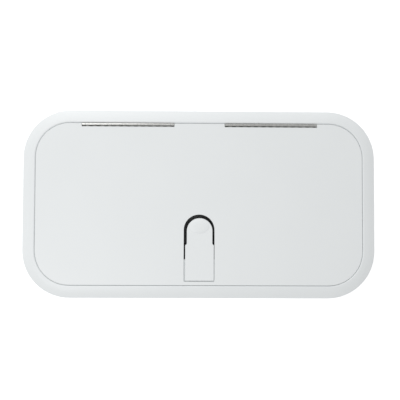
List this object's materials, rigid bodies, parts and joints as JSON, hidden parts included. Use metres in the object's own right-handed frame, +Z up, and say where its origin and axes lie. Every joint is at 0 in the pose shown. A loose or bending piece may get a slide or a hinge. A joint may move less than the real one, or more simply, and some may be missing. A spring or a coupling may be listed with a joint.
{
  "type": "deck hatch",
  "caption": "Flush deck hatch: rounded white frame with coaming and a flat lid on piano hinges, held shut by a slam latch with a finger lever.",
  "frame": {"origin": "middle of the frame, on the plane of the deck surface that the flange rests on", "axes": "+X along the hatch's length, +Y towards the hinged side, +Z up out of the deck"},
  "size_m": [0.632, 0.3364, 0.0436],
  "materials": {
    "white_moulding": "moulded white plastic, very fine matt texture",
    "lid_moulding": "moulded white plastic, very fine matt texture",
    "lever_moulding": "moulded white plastic",
    "liner_sheet": "white sheet plastic",
    "seal_rubber": "black seal rubber",
    "gasket_foam": "black foam gasket",
    "housing_plastic": "black moulded plastic",
    "bolt_plastic": "dark moulded plastic",
    "hinge_steel": "stainless steel, lightly brushed",
    "pin_steel": "stainless steel rod",
    "fastener_steel": "stainless steel",
    "spring_steel": "stainless spring wire"
  },
  "bodies": {
    "frame": {"frame": "white_moulding", "coaming_seal": "seal_rubber", "left_hinge_frame_leaf": "hinge_steel", "right_hinge_frame_leaf": "hinge_steel", "left_hinge_pin": "pin_steel", "right_hinge_pin": "pin_steel", "hinge_frame_rivets": "fastener_steel"},
    "lid": {"lid_shell": "lid_moulding", "lid_liner": "liner_sheet", "lid_liner_screws": "fastener_steel", "left_hinge_lid_leaf": "hinge_steel", "right_hinge_lid_leaf": "hinge_steel", "hinge_lid_screws": "fastener_steel", "latch_housing": "housing_plastic", "latch_housing_gasket": "gasket_foam", "latch_housing_screws": "fastener_steel", "lever_pivot_pin": "pin_steel", "lever_pin_clips": "fastener_steel", "bolt_spring": "spring_steel"},
    "lever": {"latch_lever": "lever_moulding", "lever_cross_bar": "pin_steel"},
    "bolt": {"latch_bolt": "bolt_plastic"}
  },
  "joints": [
    {"name": "lid_hinge", "type": "hinge", "parent": "frame", "child": "lid", "pos_m": [0, 0.14235, 0.0114], "axis": [-1, 0, 0], "range_deg": [0, 110]},
    {"name": "lever_pivot", "type": "hinge", "parent": "lid", "child": "lever", "pos_m": [0, -0.076, -0.012], "axis": [-1, 0, 0], "range_deg": [0, 21], "stiffness_Nm_per_rad": 0.3, "springref_deg": -28.65},
    {"name": "bolt_slide", "type": "slide", "parent": "lid", "child": "bolt", "axis": [0, 1, 0], "range_m": [0, 0.0058], "deforming": ["bolt_spring"]}
  ],
  "couplings": [
    {"joint": "bolt_slide", "follows": "lever_pivot", "m_per_rad": 0.01564}
  ]
}
